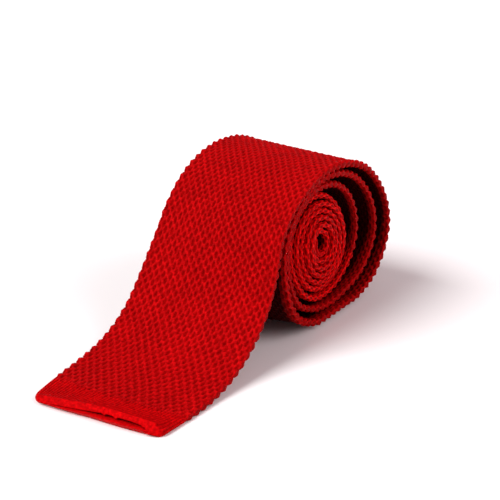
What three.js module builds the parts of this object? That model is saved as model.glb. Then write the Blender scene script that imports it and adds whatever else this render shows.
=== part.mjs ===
// A knitted necktie, rolled up from its narrow end and laid on a table with its wide end free.
// Millimetres, +Z up, the table at z = 0. X runs across the tie, Y along the free end towards the roll.
import * as THREE from 'three';

// Driving dimensions of the knitted tube, which lies pressed flat
const BLADE_WIDTH = 60;
const WIDE_HEM_WIDTH = 59;
const NECK_WIDTH = 37;
const TAIL_WIDTH = 50;
const KNIT_WALL = 1.05;
const WALL_GAP = 0.3;
const HEM_LENGTH = 14;
const HEM_CORNER_RADIUS = 4;
const MOUTH_LIFT = 1.8;
const SEAM_GAP = 0.3;

// Driving dimensions of the roll and of the free end in front of it
const ROLL_HEIGHT = 66.5;
const ROLL_LENGTH = 93.5;
const FREE_REACH = 74.3;
const FREE_FLAT = 18;
const LOOSE_TURNS = 3;
const EYE_RADIUS = 1.1;
const CORE_OVAL = 2;
const WRAP_CLEARANCE = 0.45;
const TOP_SLACK = 0.6;
const FRONT_SLACK = 2.3;
const FLOOR_SLACK = 2.8;
const FLOOR_SAG = 2.1;
const TWIST = 10;
const CORE_LEAN = 0.7;

// Where the free end leaves the roll, and how slowly it turns from the roll down to the table
const LEAVE_TURN = -69.5 / 360;
const LEAVE_EASE = 0.373 * ROLL_HEIGHT;
const TABLE_EASE = 0.496 * FREE_REACH;
const BACK_SLACK_POWER = 1.4;
const TWIST_START = 0.3 * ROLL_HEIGHT;
const TWIST_END = 0.84 * ROLL_HEIGHT;

// How finely the shape is cut into flat faces
const STEPS_PER_TURN = 20;
const FREE_STEPS = 8;
const SAMPLES_PER_TURN = 400;
const EDGE_STEPS = 4;

const THICKNESS = 2 * KNIT_WALL + WALL_GAP;
const HALF_THICKNESS = THICKNESS / 2;
const TURN_PITCH = THICKNESS + WRAP_CLEARANCE;
const CORE_RADIUS = (ROLL_HEIGHT - THICKNESS - LOOSE_TURNS * (2 * TURN_PITCH + TOP_SLACK + FLOOR_SLACK)) / 2;
const CORE_TURNS = Math.floor((CORE_RADIUS - EYE_RADIUS) / TURN_PITCH);
const LAST_TURN = LOOSE_TURNS + CORE_TURNS;
const ROLL_FRONT = FREE_REACH + HALF_THICKNESS;
const ROLL_BACK = FREE_REACH + ROLL_LENGTH - HALF_THICKNESS;
const ROLL_TOP = ROLL_HEIGHT - HALF_THICKNESS;
const ROLL_MIDDLE = (ROLL_FRONT + ROLL_BACK) / 2;
const CORE_REACH = CORE_RADIUS + CORE_OVAL;
const CORE_MIDDLE = ROLL_FRONT + LOOSE_TURNS * (TURN_PITCH + FRONT_SLACK) + CORE_REACH;
const TOP_SPARE = LOOSE_TURNS * TOP_SLACK;
const FRONT_SPARE = LOOSE_TURNS * FRONT_SLACK;
const FLOOR_SPARE = LOOSE_TURNS * FLOOR_SLACK;
const BACK_SPARE = ROLL_BACK - ROLL_FRONT - 2 * CORE_REACH - FRONT_SPARE - 2 * LOOSE_TURNS * TURN_PITCH;

// The tube's width at shares of the tie's whole length, from the wide end
const WIDTHS = [
  { along: 0, width: WIDE_HEM_WIDTH },
  { along: 0.03, width: BLADE_WIDTH },
  { along: 0.16, width: BLADE_WIDTH },
  { along: 0.56, width: NECK_WIDTH },
  { along: 0.66, width: NECK_WIDTH },
  { along: 0.75, width: TAIL_WIDTH },
  { along: 1, width: TAIL_WIDTH },
];

// The share of the whole length at which one knitted panel is sewn to the next
const NECK_START = 0.54;
const TAIL_START = 0.68;

function smoothStep(value, start, end) {
  return THREE.MathUtils.smoothstep(value, start, end);
}

// How far a turn lies inside the outermost one, on the side that the path passes at the turn `passing`. The
// spare room between loose turns is used up where the tight core starts.
function inset(turn, passing, spare, power) {
  const turned = turn - passing;
  const share = Math.min(turned / (LOOSE_TURNS - Math.abs(passing)), 1);
  return TURN_PITCH * turned + spare * Math.sign(share) * Math.abs(share) ** power;
}

// The middle of the cloth in the roll: turn 0 is the top of the outermost turn, and a quarter turn on is the back
function rollPoint(turn) {
  const top = ROLL_TOP - inset(turn, 0, TOP_SPARE, 1);
  const back = ROLL_BACK - inset(turn, 0.25, BACK_SPARE, BACK_SLACK_POWER);
  const bottom = HALF_THICKNESS - FLOOR_SAG + inset(turn, 0.5, FLOOR_SPARE, 1);
  const front = ROLL_FRONT + inset(turn, -0.25, FRONT_SPARE, 1);
  const middle = THREE.MathUtils.lerp(ROLL_MIDDLE, CORE_MIDDLE, THREE.MathUtils.clamp(turn / LOOSE_TURNS, 0, 1));
  const angle = 2 * Math.PI * turn;
  const reach = Math.sin(angle) > 0 ? back - middle : middle - front;
  const y = middle + reach * Math.sin(angle);
  const z = (top + bottom) / 2 + (top - bottom) / 2 * Math.cos(angle);
  const resting = HALF_THICKNESS + Math.max(Math.floor(turn), 0) * TURN_PITCH;
  return new THREE.Vector2(y, Math.max(z, resting));
}

function makeRise() {
  const leave = rollPoint(LEAVE_TURN);
  const beyond = rollPoint(LEAVE_TURN + 0.001);
  const direction = beyond.clone().sub(leave).normalize();
  const start = new THREE.Vector2(FREE_FLAT, HALF_THICKNESS);
  const startPull = new THREE.Vector2(FREE_FLAT + TABLE_EASE, HALF_THICKNESS);
  const leavePull = leave.clone().addScaledVector(direction, -LEAVE_EASE);
  return new THREE.CubicBezierCurve(start, startPull, leavePull, leave);
}

const RISE = makeRise();
const RISE_START = LEAVE_TURN - 1;
const FLAT_START = LEAVE_TURN - 2;

// The middle of the cloth from its wide end to its tail, by a step that counts the flat, the rise and then turns
function pathPoint(step) {
  if (step >= LEAVE_TURN) {
    return rollPoint(step);
  }
  if (step >= RISE_START) {
    return RISE.getPoint(step - RISE_START);
  }
  return new THREE.Vector2(FREE_FLAT * (step - FLAT_START), HALF_THICKNESS);
}

// The path's length up to many steps, so that a place can be found by its distance from the wide end
function measurePath() {
  const count = Math.round((LAST_TURN - FLAT_START) * SAMPLES_PER_TURN);
  const samples = [{ step: FLAT_START, length: 0 }];
  let before = pathPoint(FLAT_START);
  for (let i = 1; i <= count; i += 1) {
    const step = FLAT_START + (LAST_TURN - FLAT_START) * i / count;
    const point = pathPoint(step);
    samples.push({ step, length: samples[i - 1].length + point.distanceTo(before) });
    before = point;
  }
  return samples;
}

const SAMPLES = measurePath();
const WHOLE_LENGTH = SAMPLES[SAMPLES.length - 1].length;

function interpolate(value, from, to) {
  let low = 0;
  let high = SAMPLES.length - 1;
  while (high - low > 1) {
    const middle = (low + high) >> 1;
    if (SAMPLES[middle][from] <= value) {
      low = middle;
    } else {
      high = middle;
    }
  }
  const a = SAMPLES[low];
  const b = SAMPLES[high];
  return a[to] + (b[to] - a[to]) * (value - a[from]) / (b[from] - a[from]);
}

const stepAt = (length) => interpolate(length, 'length', 'step');
const lengthAt = (step) => interpolate(step, 'step', 'length');

// The lengths at which the tube has a section: even shares of the flat, the rise and each turn
function sectionLengths() {
  const steps = [FLAT_START, RISE_START];
  for (let i = 1; i < FREE_STEPS; i += 1) {
    steps.push(RISE_START + i / FREE_STEPS);
  }
  const first = Math.ceil(LEAVE_TURN * STEPS_PER_TURN);
  for (let i = first; i <= LAST_TURN * STEPS_PER_TURN; i += 1) {
    steps.push(i / STEPS_PER_TURN);
  }
  return steps.map(lengthAt);
}

const SECTIONS = sectionLengths();

function widthAt(length) {
  const share = length / WHOLE_LENGTH;
  const next = WIDTHS.findIndex((row) => row.along >= share);
  if (next < 1) {
    return WIDTHS[next < 0 ? WIDTHS.length - 1 : 0].width;
  }
  const a = WIDTHS[next - 1];
  const b = WIDTHS[next];
  const eased = smoothStep(share, a.along, b.along);
  return a.width + (b.width - a.width) * eased;
}

// The narrower stretches inside the roll lie towards its right edge, by this share of the width that they lack
function leanAt(length) {
  return stepAt(length) > 0 ? CORE_LEAN * (BLADE_WIDTH - widthAt(length)) / 2 : 0;
}

// The upper wall of the wide hem lifts off the lower one, most of all right of the middle
const MOUTH = [
  { across: 0.7, lift: 0.75 },
  { across: 0.25, lift: 1 },
  { across: -0.25, lift: 0.7 },
  { across: -0.7, lift: 0.2 },
];

function cornerCut(fromEnd) {
  const share = 1 - Math.min(fromEnd / HEM_CORNER_RADIUS, 1);
  return HEM_CORNER_RADIUS * (1 - Math.sqrt(1 - share ** 2));
}

function mouthLift(length) {
  return MOUTH_LIFT * (1 - Math.min(length / HEM_LENGTH, 1)) ** 2;
}

// The tube's section at a length: an outer ring with round edges, and an inner ring round the hollow
function sectionRings(length, mouth) {
  const cut = cornerCut(length) + cornerCut(WHOLE_LENGTH - length);
  const flat = widthAt(length) / 2 - cut - HALF_THICKNESS;
  const hollow = WALL_GAP / 2;
  const lift = mouthLift(length);
  const outer = [];
  for (const side of [1, -1]) {
    for (let i = 0; i <= EDGE_STEPS; i += 1) {
      const angle = side * Math.PI * (i / EDGE_STEPS - 0.5);
      const across = side * (flat + HALF_THICKNESS * Math.cos(angle));
      outer.push(new THREE.Vector2(across, HALF_THICKNESS * Math.sin(angle)));
    }
    if (side > 0) {
      outer.push(...mouth.map((row) => new THREE.Vector2(row.across * flat, HALF_THICKNESS + lift * row.lift)));
    }
  }
  const inner = [
    new THREE.Vector2(flat, 0),
    new THREE.Vector2(flat - hollow, hollow),
    ...mouth.map((row) => new THREE.Vector2(row.across * flat, hollow + lift * row.lift)),
    new THREE.Vector2(hollow - flat, hollow),
    new THREE.Vector2(-flat, 0),
    new THREE.Vector2(hollow - flat, -hollow),
    new THREE.Vector2(flat - hollow, -hollow),
  ];
  return { outer, inner };
}

// Sets a ring's points across and above the path, and skews the upper part of the roll across the tie
function placeRing(ring, length) {
  const step = stepAt(length);
  const reach = 1 / SAMPLES_PER_TURN;
  const before = pathPoint(Math.max(step - reach, FLAT_START));
  const after = pathPoint(Math.min(step + reach, LAST_TURN));
  const along = after.sub(before).normalize();
  const point = pathPoint(step);
  const lean = leanAt(length);
  return ring.map((place) => {
    const x = place.x + lean;
    const y = point.x - along.y * place.y;
    const z = point.y + along.x * place.y;
    const skew = TWIST * smoothStep(z, TWIST_START, TWIST_END) * x / BLADE_WIDTH;
    return new THREE.Vector3(x, y - skew, z);
  });
}

function joinRings(faces, first, second, count) {
  for (let i = 0; i < count; i += 1) {
    const next = (i + 1) % count;
    faces.push([first + i, second + i, second + next]);
    faces.push([first + i, second + next, first + next]);
  }
}

function signedVolume(points, faces) {
  return faces.reduce((sum, [a, b, c]) => {
    const normal = points[b].clone().cross(points[c]);
    return sum + points[a].dot(normal) / 6;
  }, 0);
}

// One knitted piece between two lengths: a flattened tube, open at both ends
function tubeGeometry(start, end, mouth) {
  const clear = HALF_THICKNESS;
  const between = SECTIONS.filter((length) => length > start + clear && length < end - clear);
  const lengths = [start, ...hemSections(start, end), ...between, end].sort((a, b) => a - b);
  const points = [];
  const faces = [];
  const shape = sectionRings(start, mouth);
  const ringSize = shape.outer.length + shape.inner.length;
  for (const length of lengths) {
    const rings = sectionRings(length, mouth);
    points.push(...placeRing(rings.outer, length), ...placeRing(rings.inner, length));
  }
  for (let i = 1; i < lengths.length; i += 1) {
    const here = i * ringSize;
    const back = here - ringSize;
    joinRings(faces, back, here, shape.outer.length);
    joinRings(faces, here + shape.outer.length, back + shape.outer.length, shape.inner.length);
  }
  const last = (lengths.length - 1) * ringSize;
  const lastShape = sectionRings(end, mouth);
  for (const [a, b, c] of THREE.ShapeUtils.triangulateShape(shape.outer, [shape.inner])) {
    faces.push([a, b, c]);
  }
  for (const [a, b, c] of THREE.ShapeUtils.triangulateShape(lastShape.outer, [lastShape.inner])) {
    faces.push([last + c, last + b, last + a]);
  }
  if (signedVolume(points, faces) < 0) {
    faces.forEach((face) => face.reverse());
  }
  const geometry = new THREE.BufferGeometry();
  geometry.setAttribute('position', new THREE.Float32BufferAttribute(points.flatMap((p) => p.toArray()), 3));
  geometry.setIndex(faces.flat());
  geometry.computeVertexNormals();
  return geometry;
}

// More sections round a hem's corners, where the width changes quickly
function hemSections(start, end) {
  const shares = [0.12, 0.45, 1];
  const fromWideEnd = shares.map((share) => share * HEM_CORNER_RADIUS);
  const fromTailEnd = fromWideEnd.map((length) => WHOLE_LENGTH - length);
  return [...fromWideEnd, ...fromTailEnd].filter((length) => length > start && length < end);
}

const knit = { roughness: 0.55, metalness: 0 };
const BLADE_KNIT = new THREE.MeshStandardMaterial({ color: 0xb80d12, ...knit });
const INNER_KNIT = new THREE.MeshStandardMaterial({ color: 0xa80b10, ...knit });
const RIBBED_KNIT = new THREE.MeshStandardMaterial({ color: 0xc81016, ...knit });

// The knitted pieces in their order from the wide end
const PIECES = [
  { name: 'wide_end_hem', end: HEM_LENGTH, material: RIBBED_KNIT },
  { name: 'wide_blade', end: NECK_START * WHOLE_LENGTH, material: BLADE_KNIT },
  { name: 'neck_band', end: TAIL_START * WHOLE_LENGTH, material: INNER_KNIT },
  { name: 'tail_blade', end: WHOLE_LENGTH - HEM_LENGTH, material: INNER_KNIT },
  { name: 'tail_end_hem', end: WHOLE_LENGTH, material: RIBBED_KNIT },
];

function buildTie() {
  const tie = new THREE.Group();
  let start = 0;
  for (const piece of PIECES) {
    const mouth = start === 0 ? MOUTH : [];
    const mesh = new THREE.Mesh(tubeGeometry(start, piece.end, mouth), piece.material);
    mesh.name = piece.name;
    tie.add(mesh);
    start = piece.end + SEAM_GAP;
  }
  const box = new THREE.Box3().setFromObject(tie);
  tie.position.y = -(box.min.y + box.max.y) / 2;
  return tie;
}

const tie = buildTie();
tie.updateMatrixWorld(true);

export default tie;
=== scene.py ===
# A red silk knit tie, rolled up from its narrow end and laid on a pale studio floor with its wide end free.
# The cloth is worked out in millimetres along the same path as the solids, and is turned into metres last.
import math

import bmesh
import bpy
import mathutils
import numpy as np
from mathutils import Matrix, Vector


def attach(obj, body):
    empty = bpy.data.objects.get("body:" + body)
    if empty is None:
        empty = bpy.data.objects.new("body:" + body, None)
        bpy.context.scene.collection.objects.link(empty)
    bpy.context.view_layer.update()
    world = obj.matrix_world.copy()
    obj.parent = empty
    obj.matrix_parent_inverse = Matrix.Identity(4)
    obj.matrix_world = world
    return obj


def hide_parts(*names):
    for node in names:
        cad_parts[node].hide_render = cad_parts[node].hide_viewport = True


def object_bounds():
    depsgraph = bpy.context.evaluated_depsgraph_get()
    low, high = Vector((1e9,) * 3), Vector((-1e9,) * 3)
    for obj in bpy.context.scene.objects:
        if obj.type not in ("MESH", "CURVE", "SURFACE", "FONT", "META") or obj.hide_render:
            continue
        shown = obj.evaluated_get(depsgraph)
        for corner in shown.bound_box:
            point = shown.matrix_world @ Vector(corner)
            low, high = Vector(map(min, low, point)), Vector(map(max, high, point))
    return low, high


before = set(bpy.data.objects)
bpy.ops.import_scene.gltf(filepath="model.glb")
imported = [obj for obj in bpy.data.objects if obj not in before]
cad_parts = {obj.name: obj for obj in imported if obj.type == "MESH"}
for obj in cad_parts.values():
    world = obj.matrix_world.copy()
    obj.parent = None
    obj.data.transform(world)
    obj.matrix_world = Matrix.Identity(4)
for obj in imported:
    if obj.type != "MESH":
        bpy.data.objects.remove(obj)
cad_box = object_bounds()

MM = 0.001

# The flattened tube
BLADE_WIDTH = 60.0
WIDE_HEM_WIDTH = 59.0
NECK_WIDTH = 37.0
TAIL_WIDTH = 50.0
THICKNESS = 2.4
HALF = THICKNESS / 2
HEM_LENGTH = 14.0
HEM_CORNER_RADIUS = 4.0
MOUTH_LIFT = 1.8

# The roll and the free end in front of it
ROLL_HEIGHT = 66.5
ROLL_LENGTH = 93.5
FREE_REACH = 74.3
FREE_FLAT = 18.0
LOOSE_TURNS = 3
EYE_RADIUS = 1.1
CORE_OVAL = 2.0
TURN_PITCH = THICKNESS + 0.45
TOP_SLACK = 0.6
FRONT_SLACK = 2.3
FLOOR_SLACK = 2.8
FLOOR_SAG = 2.1
TWIST = 10.0
CORE_LEAN = 0.7
LEAVE_TURN = -69.5 / 360
LEAVE_EASE = 0.373 * ROLL_HEIGHT
TABLE_EASE = 0.496 * FREE_REACH
BACK_SLACK_POWER = 1.4
TWIST_START = 0.3 * ROLL_HEIGHT
TWIST_END = 0.84 * ROLL_HEIGHT
FLAT_SAMPLES = 200
RISE_SAMPLES = 1200
SAMPLES_PER_TURN = 800
NORMAL_REACH = 1.5

# The wide end's left corner lies further in and forward than its right one, and its middle bows forward
PULL_REACH = 34.0
LEFT_INSET = 5.0
LEFT_FORWARD = 3.0
MIDDLE_FORWARD = 2.4

# The turns inside the roll stray a little to the side, in two waves, each with its reach and its start
WANDER = 0.9
WANDER_WAVES = [(41, 1), (17, 0)]

# The right edge of the outer two turns curls off the floor: the lift in each, its start and its stretch
CURL_LIFTS = [2.2, 2.0]
CURL_START = 6.0
CURL_COSINES = (0.67, 0.97)

ROLL_FRONT = FREE_REACH + HALF
ROLL_BACK = FREE_REACH + ROLL_LENGTH - HALF
ROLL_TOP = ROLL_HEIGHT - HALF
CORE_RADIUS = (ROLL_HEIGHT - THICKNESS - LOOSE_TURNS * (2 * TURN_PITCH + TOP_SLACK + FLOOR_SLACK)) / 2
LAST_TURN = LOOSE_TURNS + math.floor((CORE_RADIUS - EYE_RADIUS) / TURN_PITCH)
ROLL_MIDDLE = (ROLL_FRONT + ROLL_BACK) / 2
CORE_REACH = CORE_RADIUS + CORE_OVAL
CORE_MIDDLE = ROLL_FRONT + LOOSE_TURNS * (TURN_PITCH + FRONT_SLACK) + CORE_REACH
BACK_SPARE = (ROLL_BACK - ROLL_FRONT - 2 * CORE_REACH
              - LOOSE_TURNS * FRONT_SLACK - 2 * LOOSE_TURNS * TURN_PITCH)
RISE_START = LEAVE_TURN - 1
FLAT_START = LEAVE_TURN - 2

# The tube's width at shares of the whole length
WIDTH_ALONG = [0.0, 0.03, 0.16, 0.56, 0.66, 0.75, 1.0]
WIDTH_THERE = [WIDE_HEM_WIDTH, BLADE_WIDTH, BLADE_WIDTH, NECK_WIDTH, NECK_WIDTH, TAIL_WIDTH, TAIL_WIDTH]
NECK_START = 0.54
TAIL_START = 0.68

# The open knit: zigzag ridges run along the tube, and neighbours meet and part, which leaves the holes
COLUMNS = 72
ROW = 4.15
ZIGZAG = 0.28
ZIGZAG_ROUNDING = 0.3
RIDGE_HALF = 0.41
RIDGE_BLEND = 6
WEB = 0.35
CREST = 1.2
NODE_HUMP = 0.38

# The stitches' unevenness: slow drifts round and along the tube, and a slip and a height for each stitch
DRIFT_WAVES = [(3, 9.1, 1.0), (5, -6.3, 2.1), (2, 23.0, 3.7)]
COLUMN_DRIFT = 0.14
ROW_DRIFT = 0.3
STITCH_SLIP = 0.05
STITCH_UNEVEN = 0.16
HASH_STEPS = (12.9898, 78.233)
HASH_SPREAD = 43758.5453
UNEVEN_SEED = 50
STAGGER_SEED = 3.0

# The selvedges: a row of bumps, and finer faces where an edge shows
EDGE_PROUD = 0.3
EDGE_SCALLOP = 1.3
SCALLOP_MEAN = 0.4
SCALLOP_COLUMNS = (2.2, 0.3)
RIGHT_RIM = 9
LEFT_RIM = 3

# Where painted shade darkens the cloth between two turns of the roll: along the tie, and from its edge low
# and high in the roll
BURIED_FADE = 20
BURIED_START = 1.0
BURIED_END_LOW = 6.5
BURIED_END_HIGH = 2.8

# The ribbed hems
RIBS_PER_COLUMN = 1.25
RIB_POWER = 0.8
RIB_FLOOR = 0.75
RIB_CREST = 1.16
# The painted shade between two ribs
RIB_PAINTED_SHADE = 0.75
RIBS_REACH = 13.5
RIBS_STAGGER = 2.8
RIBS_FADE = 2.4
HEM_COLUMN_STEPS = (9, 9, 9, 9)
HEM_RINGS = 34
HOLLOW_RINGS = 8
HOLLOW_DEPTH = 11.0

# Across the wide hem: how much of the lift its upper wall takes, and how open the slit under it is
MOUTH_ACROSS = [-1.0, -0.7, -0.25, 0.05, 0.25, 0.7, 0.92, 1.0]
MOUTH_SHARE = [0.1, 0.4, 0.75, 0.92, 1.0, 0.95, 0.8, 0.2]
MOUTH_OPEN = [0.0, 0.01, 0.01, 0.06, 0.24, 0.27, 0.26, 0.1]
TACKS = [6.0, 10.8, 22.0, 25.8]
TACK_HALF = 0.6
LOWER_SHARE = 0.4
LIP_BACK = 1.8
LIP_LIFT = MOUTH_LIFT + 1.5
LIP_OUT = 1.25
LIP_LENGTH = 1.6
LIP_STEPS = 10
SLIT_HALF = 0.06

# The yarn's tones: the scales of its noises, and how much each of them changes the colour, with the painted
# shade between turns and in the hollows
PATCHES = 90
FLECKS = 1000
FIBRES = 2600
PATCH_SHADES = (0.8, 1.2)
FLECK_SHADES = (0.3, 1.65)
PAINTED_GLOOM = 0.07
SHADED_HOLLOWS = (0.05, 0.85)
SMOOTHER = 0.08
ROUGHER = 0.12

# The plies' twist, in radians along a centimetre of cloth and across half a ridge, and its relief
CENTIMETRE = 10
TWIST_ALONG = 55.0
TWIST_ACROSS = 9.0
TWIST_RELIEF = 0.35
BUMP_STRENGTH = 0.35
BUMP_DEPTH = 0.12


def smooth_step(value, start, end):
    share = np.clip((value - start) / (end - start), 0, 1)
    return share * share * (3 - 2 * share)


def inset(turn, passing, spare, power=1.0):
    """How far a turn lies inside the outermost one, on the side that the path passes at turn `passing`."""
    turned = turn - passing
    share = np.minimum(turned / (LOOSE_TURNS - abs(passing)), 1)
    return TURN_PITCH * turned + spare * np.sign(share) * np.abs(share) ** power


def roll_points(turn):
    """The middle of the cloth in the roll: turn 0 is the top of the outermost turn."""
    top = ROLL_TOP - inset(turn, 0, LOOSE_TURNS * TOP_SLACK)
    back = ROLL_BACK - inset(turn, 0.25, BACK_SPARE, BACK_SLACK_POWER)
    bottom = HALF - FLOOR_SAG + inset(turn, 0.5, LOOSE_TURNS * FLOOR_SLACK)
    front = ROLL_FRONT + inset(turn, -0.25, LOOSE_TURNS * FRONT_SLACK)
    middle = ROLL_MIDDLE + (CORE_MIDDLE - ROLL_MIDDLE) * np.clip(turn / LOOSE_TURNS, 0, 1)
    angle = 2 * math.pi * turn
    reach = np.where(np.sin(angle) > 0, back - middle, middle - front)
    y = middle + reach * np.sin(angle)
    z = (top + bottom) / 2 + (top - bottom) / 2 * np.cos(angle)
    resting = HALF + np.maximum(np.floor(turn), 0) * TURN_PITCH
    return np.stack([y, np.maximum(z, resting)], axis=-1)


def rise_points(share):
    """The free end's climb from the floor to the roll, as a Bezier curve."""
    leave, beyond = roll_points(np.array([LEAVE_TURN, LEAVE_TURN + 0.001]))
    direction = (beyond - leave) / np.linalg.norm(beyond - leave)
    start = np.array([FREE_FLAT, HALF])
    pulls = [start, start + [TABLE_EASE, 0], leave - direction * LEAVE_EASE, leave]
    weights = [(1 - share) ** 3, 3 * share * (1 - share) ** 2, 3 * share ** 2 * (1 - share), share ** 3]
    return sum(weight[:, None] * pull for weight, pull in zip(weights, pulls))


def sample_path():
    """The path's points and their distance from the wide end."""
    flat = np.linspace(FLAT_START, RISE_START, FLAT_SAMPLES, endpoint=False)
    rise = np.linspace(RISE_START, LEAVE_TURN, RISE_SAMPLES, endpoint=False)
    turns = np.linspace(LEAVE_TURN, LAST_TURN, round((LAST_TURN - LEAVE_TURN) * SAMPLES_PER_TURN))
    flat_points = np.stack([FREE_FLAT * (flat - FLAT_START), np.full(len(flat), HALF)], axis=-1)
    points = np.concatenate([flat_points, rise_points(rise - RISE_START), roll_points(turns)])
    steps = np.linalg.norm(np.diff(points, axis=0), axis=1)
    lengths = np.concatenate([[0], np.cumsum(steps)])
    return points, lengths, np.concatenate([flat, rise, turns])


PATH, PATH_LENGTHS, PATH_TURNS = sample_path()
WHOLE_LENGTH = PATH_LENGTHS[-1]


def path_at(length):
    return np.stack([np.interp(length, PATH_LENGTHS, PATH[:, axis]) for axis in (0, 1)], axis=-1)


def length_at(turn):
    return float(np.interp(turn, PATH_TURNS, PATH_LENGTHS))


# Lengths along the tie where the cloth's looks change, where painted shade between turns begins, and the
# share of scallops and of relief there
ROLL_START = length_at(0)
CONCAVE_BURIED = (ROLL_START, ROLL_START + BURIED_FADE)
CONVEX_BURIED = (length_at(0.5), length_at(0.5) + BURIED_FADE)
SCALLOP_ALONG = [ROLL_START - 60, ROLL_START + 40, length_at(2.4), length_at(3.2)]
SCALLOP_SHARE = [0.7, 1.0, 1.0, 0.45]
RELIEF_ALONG = [15.0, ROLL_START - 75, ROLL_START - 40, ROLL_START - 5, ROLL_START + 60]
RELIEF_SHARE = [0.8, 0.9, 1.0, 0.85, 1.0]


def path_direction(length):
    ahead = path_at(np.minimum(length + NORMAL_REACH, WHOLE_LENGTH))
    behind = path_at(np.maximum(length - NORMAL_REACH, 0))
    along = ahead - behind
    return along / np.linalg.norm(along, axis=-1, keepdims=True)


def curl_at(across, length):
    """How far the right edge of the outer turns is lifted where they pass the floor."""
    turn = np.interp(length, PATH_LENGTHS, PATH_TURNS)
    lowest = smooth_step(-np.cos(2 * math.pi * turn), *CURL_COSINES)
    lift = sum(lift * (np.floor(turn) == number) for number, lift in enumerate(CURL_LIFTS))
    return lift * lowest * smooth_step(across, CURL_START, BLADE_WIDTH / 2)


def width_at(length):
    share = np.clip(length / WHOLE_LENGTH, 0, 1)
    row = np.clip(np.searchsorted(WIDTH_ALONG, share), 1, len(WIDTH_ALONG) - 1)
    along = np.array(WIDTH_ALONG)
    there = np.array(WIDTH_THERE)
    eased = smooth_step(share, along[row - 1], along[row])
    return there[row - 1] + (there[row] - there[row - 1]) * eased


def corner_cut(from_end):
    share = 1 - np.clip(from_end / HEM_CORNER_RADIUS, 0, 1)
    return HEM_CORNER_RADIUS * (1 - np.sqrt(1 - share ** 2))


def lean_at(length):
    """How far the narrower stretches inside the roll lie towards its right edge."""
    return np.where(length > ROLL_START, CORE_LEAN * (BLADE_WIDTH - width_at(length)) / 2, 0)


def wander_at(length):
    """How far the turns inside the roll stray to the side."""
    waves = sum(np.sin(length / reach + start) for reach, start in WANDER_WAVES)
    return WANDER * smooth_step(length, *CONVEX_BURIED) * waves / len(WANDER_WAVES)


def place(across, height, length):
    """Sets points across and above the cloth's middle into the model's frame, in metres."""
    point = path_at(length)
    along = path_direction(length)
    y = point[..., 0] - along[..., 1] * height
    z = np.maximum(point[..., 1] + along[..., 0] * height, 0) + curl_at(across, length)
    near_end = (1 - np.clip(length / PULL_REACH, 0, 1)) ** 2
    to_right = 2 * across / BLADE_WIDTH
    to_left = np.clip(-to_right, 0, 1)
    forward = near_end * (LEFT_FORWARD * to_left + MIDDLE_FORWARD * (1 - to_right ** 2))
    x = across + LEFT_INSET * near_end * to_left + lean_at(length) + wander_at(length)
    skew = TWIST * smooth_step(z, TWIST_START, TWIST_END) * x / BLADE_WIDTH
    front = cad_box[0].y / MM
    return np.stack([x, front + y - skew - forward, z], axis=-1) * MM


def hash_noise(a, b):
    """A number from -1 to 1 that is the same each run for each pair of whole numbers."""
    value = np.sin(a * HASH_STEPS[0] + b * HASH_STEPS[1]) * HASH_SPREAD
    return 2 * (value - np.floor(value)) - 1


def drift(column, length, seed):
    """A slow wander of the stitches, which closes on itself round the tube."""
    around = 2 * math.pi * column / COLUMNS
    waves = [np.sin(count * around + length / reach + shift * seed) for count, reach, shift in DRIFT_WAVES]
    return sum(waves) / len(waves)


def zigzag(share):
    """A wave of period 1 between -1 and 1, straight with rounded turns."""
    straight = 4 * np.abs(share - np.floor(share) - 0.5) - 1
    return (1 - ZIGZAG_ROUNDING) * straight + ZIGZAG_ROUNDING * np.cos(2 * math.pi * share)


def knit_height(column, length):
    """How high the open knit stands, 0 in a hole and 1 on a ridge, and the place across that ridge."""
    column = column + COLUMN_DRIFT * drift(column, length, seed=1.0)
    rows = (length + ROW_DRIFT * drift(column, length, seed=4.0)) / ROW
    total = np.zeros_like(column)
    nearest = np.full_like(column, np.inf)
    for offset in (-1, 0, 1):
        ridge = np.floor(column) + offset
        sign = np.where(ridge % 2 == 0, 1.0, -1.0)
        node = np.round(rows * 2)
        hump = np.cos(2 * math.pi * rows) ** 2
        slip = STITCH_SLIP * hash_noise(ridge % COLUMNS, node) * hump
        centre = ridge + 0.5 + sign * ZIGZAG * zigzag(rows) + slip
        across = (column - centre) / RIDGE_HALF
        uneven = 1 + STITCH_UNEVEN * hash_noise(ridge % COLUMNS + UNEVEN_SEED, node) * hump
        tall = (1 - NODE_HUMP * (1 - hump)) * uneven
        body = tall * np.sqrt(np.maximum(1 - across ** 2, 0))
        total += body ** RIDGE_BLEND
        nearest = np.where(np.abs(across) < np.abs(nearest), across, nearest)
    return total ** (1 / RIDGE_BLEND), nearest


def rib_height(column):
    """How high a rib stands, 0 between two ribs and 1 on one."""
    return np.abs(np.cos(math.pi * RIBS_PER_COLUMN * column)) ** RIB_POWER


def mesh_share(column, length):
    """0 in the ribs of a hem, 1 in the open knit. Each column starts at its own length."""
    start = RIBS_REACH + RIBS_STAGGER * hash_noise(np.floor(column) % COLUMNS, STAGGER_SEED)
    from_end = np.minimum(length, WHOLE_LENGTH - length)
    return smooth_step(from_end, start, start + RIBS_FADE)


def loop_points(column, width):
    """A flat loop round the cloth: its middle line, and the way out from it. Column 0 is the right edge."""
    flat = width / 2 - HALF
    around = 4 * flat + 2 * math.pi * HALF
    walked = column / COLUMNS * around
    upper = walked < around / 2
    walked = np.where(upper, walked, around - walked)
    right = np.clip(walked / HALF, 0, math.pi / 2)
    left = np.clip((walked - math.pi * HALF / 2 - 2 * flat) / HALF, 0, math.pi / 2)
    angle = right + left
    across = flat - np.clip(walked - math.pi * HALF / 2, 0, 2 * flat)
    return across, np.cos(angle), np.where(upper, 1, -1) * np.sin(angle)


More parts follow.
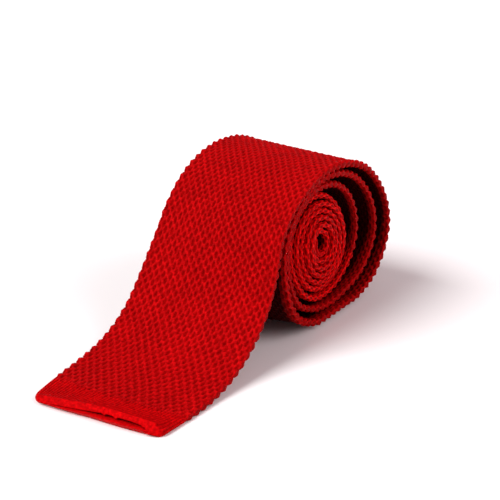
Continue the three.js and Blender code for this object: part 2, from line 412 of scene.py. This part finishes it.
def face_reach(column, length):
    """How far the face stands from the cloth's middle, how hollow it is as a mask for painted shade, and
    its place across the yarn.
    """
    height, across = knit_height(column, length)
    share = mesh_share(column, length)
    rib = rib_height(column)
    open_share = np.interp(length, RELIEF_ALONG, RELIEF_SHARE)
    relief = (CREST - WEB) * np.minimum(width_at(length) / BLADE_WIDTH, 1) * open_share
    knit = CREST - relief * (1 - height)
    ribbed = RIB_FLOOR + (RIB_CREST - RIB_FLOOR) * rib
    reach = ribbed + (knit - ribbed) * share
    # The hollow mask paints shade into the knit's holes and between the ribs
    hollow = (1 - height) * share * open_share + RIB_PAINTED_SHADE * (1 - rib) * (1 - share)
    reach = reach + scallop(column, length) * share
    yarn = np.where(share > 0.5, across, 0.0)
    return reach, np.clip(hollow, 0, 1), yarn


def scallop(column, length):
    """The selvedge's row of rounded bumps, one for each row of stitches, at both edges of the tube."""
    half = COLUMNS / 2
    to_edge = np.abs((column + half / 2) % half - half / 2)
    bump = np.sqrt(np.abs(np.cos(math.pi * length / ROW)))
    proud = EDGE_SCALLOP * np.interp(length, SCALLOP_ALONG, SCALLOP_SHARE)
    return proud * (bump - SCALLOP_MEAN) * smooth_step(to_edge, *SCALLOP_COLUMNS)


def painted_turn_shade(across, up, length):
    """Painted shade: 0 where the cloth lies open, 1 deep between two turns of the roll, where little light
    reaches it.
    """
    from_edge = width_at(length) / 2 - np.abs(across)
    end = np.interp(path_at(length)[..., 1], [0, ROLL_HEIGHT / 2], [BURIED_END_LOW, BURIED_END_HIGH])
    depth = smooth_step(from_edge, BURIED_START, end)
    inside = np.where(up < 0, smooth_step(length, *CONCAVE_BURIED), smooth_step(length, *CONVEX_BURIED))
    return depth * inside


def make_mesh(name, rings, flat_caps, hollow, yarn, material):
    """A closed body from rings of equal size. The caps are filled from the rings' flat shapes."""
    count, size = rings.shape[:2]
    index = np.arange(count * size).reshape(count, size)
    turned = np.roll(index, -1, axis=1)
    quads = np.stack([index[:-1], turned[:-1], turned[1:], index[1:]], axis=-1).reshape(-1, 4)
    faces = quads.tolist()
    for ring, flat_cap, step in ((0, flat_caps[0], 1), (count - 1, flat_caps[1], -1)):
        loop = [mathutils.Vector((x, y, 0)) for x, y in flat_cap]
        for triangle in mathutils.geometry.tessellate_polygon([loop]):
            faces.append([int(index[ring, corner]) for corner in triangle][::step])
    mesh = bpy.data.meshes.new(name)
    mesh.from_pydata(rings.reshape(-1, 3).tolist(), [], faces)
    # The hollow attribute carries the painted shade of the hollows; the yarn attribute's third value
    # carries the painted shade between turns
    mesh.attributes.new("hollow", "FLOAT", "POINT").data.foreach_set("value", hollow.ravel())
    mesh.attributes.new("yarn", "FLOAT_VECTOR", "POINT").data.foreach_set("vector", yarn.ravel())
    mesh.materials.append(material)
    mesh.update()
    piece = bpy.data.objects.new(name, mesh)
    bpy.context.collection.objects.link(piece)
    outward(piece)
    mesh.shade_smooth()
    return piece


def outward(piece):
    """Turns every face of a closed body outwards."""
    body = bmesh.new()
    body.from_mesh(piece.data)
    bmesh.ops.recalc_face_normals(body, faces=body.faces)
    if body.calc_volume(signed=True) < 0:
        bmesh.ops.reverse_faces(body, faces=body.faces)
    body.to_mesh(piece.data)
    body.free()


def loop_columns(upper, upper_rim, lower, lower_rim):
    """Places round the tube, with the steps to a column on each face and on its rims."""
    half = COLUMNS // 2
    stretches = [
        (0, RIGHT_RIM, upper_rim),
        (RIGHT_RIM, half - LEFT_RIM, upper),
        (half - LEFT_RIM, half, upper_rim),
        (half, half + LEFT_RIM, lower_rim),
        (half + LEFT_RIM, COLUMNS - RIGHT_RIM, lower),
        (COLUMNS - RIGHT_RIM, COLUMNS, lower_rim),
    ]
    return np.concatenate([np.arange(start, end, 1 / steps) for start, end, steps in stretches])


def knit_tube(name, start, end, column_steps, row_steps, material):
    """A stretch of the knitted tube between two lengths."""
    rings = round((end - start) / ROW * row_steps)
    lengths = np.linspace(start, end, rings + 1)
    length, column = np.meshgrid(lengths, loop_columns(*column_steps), indexing="ij")
    across, out, up = loop_points(column, width_at(length) + 2 * EDGE_PROUD)
    reach, hollow, yarn = face_reach(column, length)
    x = across + reach * out
    height = reach * up
    # The third value carries the painted shade between turns into the yarn attribute
    along = np.stack([yarn, length / CENTIMETRE, painted_turn_shade(across, up, length)], axis=-1)
    caps = [np.stack([x[ring], height[ring]], axis=-1) for ring in (0, -1)]
    return make_mesh(name, place(x, height, length), caps, hollow, along, material)


def hem_body(name, wide, material):
    """A ribbed hem with a rolled lip at its end and a hollow between its walls."""
    column = loop_columns(*HEM_COLUMN_STEPS)
    outer = np.linspace(HEM_LENGTH, LIP_LENGTH, HEM_RINGS)
    turn = np.linspace(0, math.pi, LIP_STEPS + 1)[1:]
    lip = LIP_LENGTH / 2 * (1 + np.cos(turn))
    inner = np.linspace(LIP_LENGTH / 2, HOLLOW_DEPTH, HOLLOW_RINGS)
    kinds = np.concatenate([np.zeros(len(outer)), turn / math.pi, np.ones(len(inner))])
    from_end = np.concatenate([outer, lip, inner])
    kind, columns = np.meshgrid(kinds, column, indexing="ij")
    end, _ = np.meshgrid(from_end, column, indexing="ij")
    length = end if wide else WHOLE_LENGTH - end
    width = width_at(length) - 2 * corner_cut(end) + 2 * EDGE_PROUD * smooth_step(end, 0, HEM_LENGTH)
    across, out, up = loop_points(columns, width)
    reach, hollow, yarn = face_reach(columns, length)
    lift, opened = mouth_lift(across, width / 2 - HALF, end, wide)
    under = SLIT_HALF * np.ones_like(reach)
    lip_top = np.where(up > 0, LIP_OUT, HALF)
    bead = smooth_step(end, 2 * LIP_LENGTH, LIP_LENGTH / 2)
    outside = reach + (lip_top - reach) * bead
    middle = (outside + under) / 2
    radius = (outside - under) / 2
    rolled = middle + radius * np.cos(math.pi * kind)
    distance = np.where(kind <= 0, outside, np.where(kind >= 1, under, rolled))
    raised = np.where(up > 0, lift, 0) * np.abs(up)
    slit = raised * opened
    lower_rise = np.where(up < 0, LOWER_SHARE * lift, 0) * np.abs(up) * kind
    height = distance * up + np.where(kind >= 1, slit, raised + (slit - raised) * kind) + lower_rise
    x = across + distance * out
    hollow = hollow * (1 - bead)
    along = np.stack([yarn, length / CENTIMETRE, np.zeros_like(yarn)], axis=-1)
    if wide:
        length = length + LIP_BACK * np.where(up > 0, lift / LIP_LIFT, 0) * np.abs(up)
    caps = [np.stack([x[ring], height[ring]], axis=-1) for ring in (0, -1)]
    return make_mesh(name, place(x, height, length), caps, hollow, along, material)


def mouth_lift(across, half, from_end, wide):
    """The lift of the wide hem's upper wall, and the share of it that opens the slit between the tacks."""
    if not wide:
        return np.zeros_like(across), np.zeros_like(across)
    fade = (1 - np.clip(from_end / HEM_LENGTH, 0, 1)) ** 2
    lift = LIP_LIFT * np.interp(across / half, MOUTH_ACROSS, MOUTH_SHARE) * fade
    held = sum(np.exp(-((across - tack) / TACK_HALF) ** 2) for tack in TACKS)
    return lift, LOWER_SHARE + np.interp(across / half, MOUTH_ACROSS, MOUTH_OPEN) * (1 - held)


def set_inputs(tree, node, inputs):
    """Sets a node's inputs to constants, or links them to other nodes' outputs."""
    for socket, value in inputs.items():
        if isinstance(value, bpy.types.NodeSocket):
            tree.links.new(value, node.inputs[socket])
        else:
            node.inputs[socket].default_value = value


def attribute(tree, name):
    node = tree.nodes.new("ShaderNodeAttribute")
    node.attribute_name = name
    return node.outputs


def noise(tree, spot, scale, detail):
    node = tree.nodes.new("ShaderNodeTexNoise")
    set_inputs(tree, node, {"Vector": spot, "Scale": scale, "Detail": detail})
    return node.outputs["Fac"]


def between(tree, share, low, high):
    """Turns a share between 0 and 1 into a value between two others."""
    node = tree.nodes.new("ShaderNodeMapRange")
    set_inputs(tree, node, {"Value": share, "To Min": low, "To Max": high})
    return node.outputs["Result"]


def calculate(tree, operation, *values):
    node = tree.nodes.new("ShaderNodeMath")
    node.operation = operation
    set_inputs(tree, node, dict(enumerate(values)))
    return node.outputs["Value"]


def yarn_colour(tree, crest, deep, shade):
    """The crests' colour above and the painted shade of the hollows below, both scaled by the given random
    tone and painted shade.
    """
    depth = tree.nodes.new("ShaderNodeMapRange")
    depth.interpolation_type = "SMOOTHSTEP"
    start, end = SHADED_HOLLOWS
    hollow = attribute(tree, "hollow")["Fac"]
    set_inputs(tree, depth, {"Value": hollow, "From Min": start, "From Max": end})
    colour = tree.nodes.new("ShaderNodeMix")
    colour.data_type = "RGBA"
    set_inputs(tree, colour, {"A": (*crest, 1), "B": (*deep, 1), "Factor": depth.outputs["Result"]})
    shaded = tree.nodes.new("ShaderNodeVectorMath")
    shaded.operation = "SCALE"
    set_inputs(tree, shaded, {0: colour.outputs["Result"], "Scale": shade})
    return shaded.outputs["Vector"]


def yarn_bump(tree, along, across, fibres):
    """The twisted plies and the fibres in relief."""
    plies = calculate(tree, "MULTIPLY", across, TWIST_ACROSS)
    twist = calculate(tree, "MULTIPLY_ADD", along, TWIST_ALONG, plies)
    relief = calculate(tree, "MULTIPLY_ADD", calculate(tree, "SINE", twist), TWIST_RELIEF, fibres)
    bump = tree.nodes.new("ShaderNodeBump")
    set_inputs(tree, bump, {"Height": relief, "Strength": BUMP_STRENGTH, "Distance": BUMP_DEPTH * MM})
    return bump.outputs["Normal"]


def knit_material(name, crest, deep, roughness):
    """Silky yarn: painted shade in the hollows and between turns, uneven in tone, with plies and fibres in
    relief.
    """
    material = bpy.data.materials.new(name)
    material.use_nodes = True
    tree = material.node_tree
    tree.nodes.clear()
    split = tree.nodes.new("ShaderNodeSeparateXYZ")
    set_inputs(tree, split, {"Vector": attribute(tree, "yarn")["Vector"]})
    spot = tree.nodes.new("ShaderNodeTexCoord").outputs["Object"]
    patches = noise(tree, spot, PATCHES, 3)
    # Painted shade between two turns of the roll, from the yarn attribute's third value, darkens the colour
    painted_gloom = between(tree, split.outputs["Z"], 1.0, PAINTED_GLOOM)
    shade = calculate(tree, "MULTIPLY", between(tree, patches, *PATCH_SHADES), painted_gloom)
    flecks = between(tree, noise(tree, spot, FLECKS, 1), *FLECK_SHADES)
    shade = calculate(tree, "MULTIPLY", shade, flecks)
    fibres = noise(tree, spot, FIBRES, 2)
    shader = tree.nodes.new("ShaderNodeBsdfPrincipled")
    set_inputs(tree, shader, {
        "Base Color": yarn_colour(tree, crest, deep, shade),
        "Roughness": between(tree, patches, roughness - SMOOTHER, roughness + ROUGHER),
        "Normal": yarn_bump(tree, split.outputs["Y"], split.outputs["X"], fibres),
        "Specular IOR Level": 0.03,
        "Specular Tint": (1.0, 0.05, 0.05, 1.0),
        "Sheen Weight": 0.04,
        "Sheen Roughness": 0.4,
        "Sheen Tint": (1.0, 0.03, 0.03, 1.0),
    })
    output = tree.nodes.new("ShaderNodeOutputMaterial")
    set_inputs(tree, output, {"Surface": shader.outputs["BSDF"]})
    return material


def make_floor():
    bpy.ops.mesh.primitive_plane_add(size=12, location=(0, 0, 0))
    floor = bpy.context.object
    floor.name = "studio_floor"
    material = bpy.data.materials.new("pale_floor")
    material.use_nodes = True
    shader = material.node_tree.nodes["Principled BSDF"]
    shader.inputs["Base Color"].default_value = (0.88, 0.87, 0.87, 1)
    shader.inputs["Roughness"].default_value = 0.9
    shader.inputs["Specular IOR Level"].default_value = 0.1
    floor.data.materials.append(material)


def make_lights():
    world = bpy.data.worlds.new("soft_studio")
    bpy.context.scene.world = world
    world.use_nodes = True
    sky = world.node_tree.nodes["Background"]
    sky.inputs["Color"].default_value = (1.0, 0.82, 0.85, 1)
    sky.inputs["Strength"].default_value = 0.29
    add_sun("key", strength=3.85, spread=38, colour=(1.0, 1.0, 1.0), towards=(0.365, 0.61, -0.70))
    add_sun("fill", strength=1.65, spread=40, colour=(1.0, 0.9, 0.92), towards=(-0.82, -0.10, -0.56))


def add_sun(name, strength, spread, colour, towards):
    data = bpy.data.lights.new(name, "SUN")
    data.energy = strength
    data.color = colour
    data.angle = math.radians(spread)
    sun = bpy.data.objects.new(name, data)
    bpy.context.collection.objects.link(sun)
    sun.rotation_euler = mathutils.Vector(towards).to_track_quat("-Z", "Y").to_euler()


def make_camera():
    """The photograph's view: its place and lens were fitted to the tie's outline."""
    data = bpy.data.cameras.new("camera")
    data.sensor_width = 36
    data.lens = 82.97
    data.clip_start = 0.01
    camera = bpy.data.objects.new("camera", data)
    camera.location = (0.23481, -0.35044, 0.18909)
    camera.rotation_euler = (math.radians(90 - 20.079), 0, math.radians(32.615))
    bpy.context.collection.objects.link(camera)
    bpy.context.scene.camera = camera


def make_tie():
    """The knitted tubes from the wide hem to the tail's, and then the two hems."""
    # The second colour of each silk is the painted shade in its hollows
    blade = knit_material("blade_silk", (0.4, 0.002, 0.003), (0.23, 0.001, 0.001), roughness=0.5)
    # The inner silk is the same red yarn as the blade's, painted brighter: painted light on the roll's core
    # and inner turns
    inner = knit_material("inner_silk_painted_brighter", (0.74, 0.002, 0.003), (0.22, 0.001, 0.001), roughness=0.52)
    ribbed = knit_material("ribbed_silk", (0.45, 0.001, 0.002), (0.22, 0.001, 0.001), roughness=0.55)
    back = length_at(0.25)
    outer_end = length_at(1.0)
    neck = NECK_START * WHOLE_LENGTH
    tail = TAIL_START * WHOLE_LENGTH
    tail_hem = WHOLE_LENGTH - HEM_LENGTH
    # Name, start, end, steps to a column on the faces and rims, steps to a row, material, node, slot
    rows = [
        ("front_blade_knit", HEM_LENGTH, back, (5, 5, 2, 2), 8, blade, "wide_blade", "blade_knit"),
        ("outer_turn_knit", back, outer_end, (4, 4, 2, 4), 8, blade, "wide_blade", "blade_knit"),
        ("inner_turns_knit", outer_end, neck, (2, 4, 2, 4), 7, blade, "wide_blade", "blade_knit"),
        ("neck_knit", neck, tail, (2, 4, 2, 4), 6, inner, "neck_band", "inner_knit"),
        ("tail_knit", tail, tail_hem, (2, 3, 2, 3), 5, inner, "tail_blade", "inner_knit"),
    ]
    for name, start, end, column_steps, row_steps, material, node, slot in rows:
        piece = knit_tube(name, start, end, column_steps, row_steps, material)
        declare(piece, node)
    hems = [("wide_hem_knit", True, "wide_end_hem"), ("tail_hem_knit", False, "tail_end_hem")]
    for name, wide, node in hems:
        piece = hem_body(name, wide, ribbed)
        declare(piece, node)


def declare(piece, node):
    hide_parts(node)
    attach(piece, "root")


make_camera()
make_floor()
make_lights()
make_tie()
bpy.context.scene.view_settings.view_transform = "Standard"
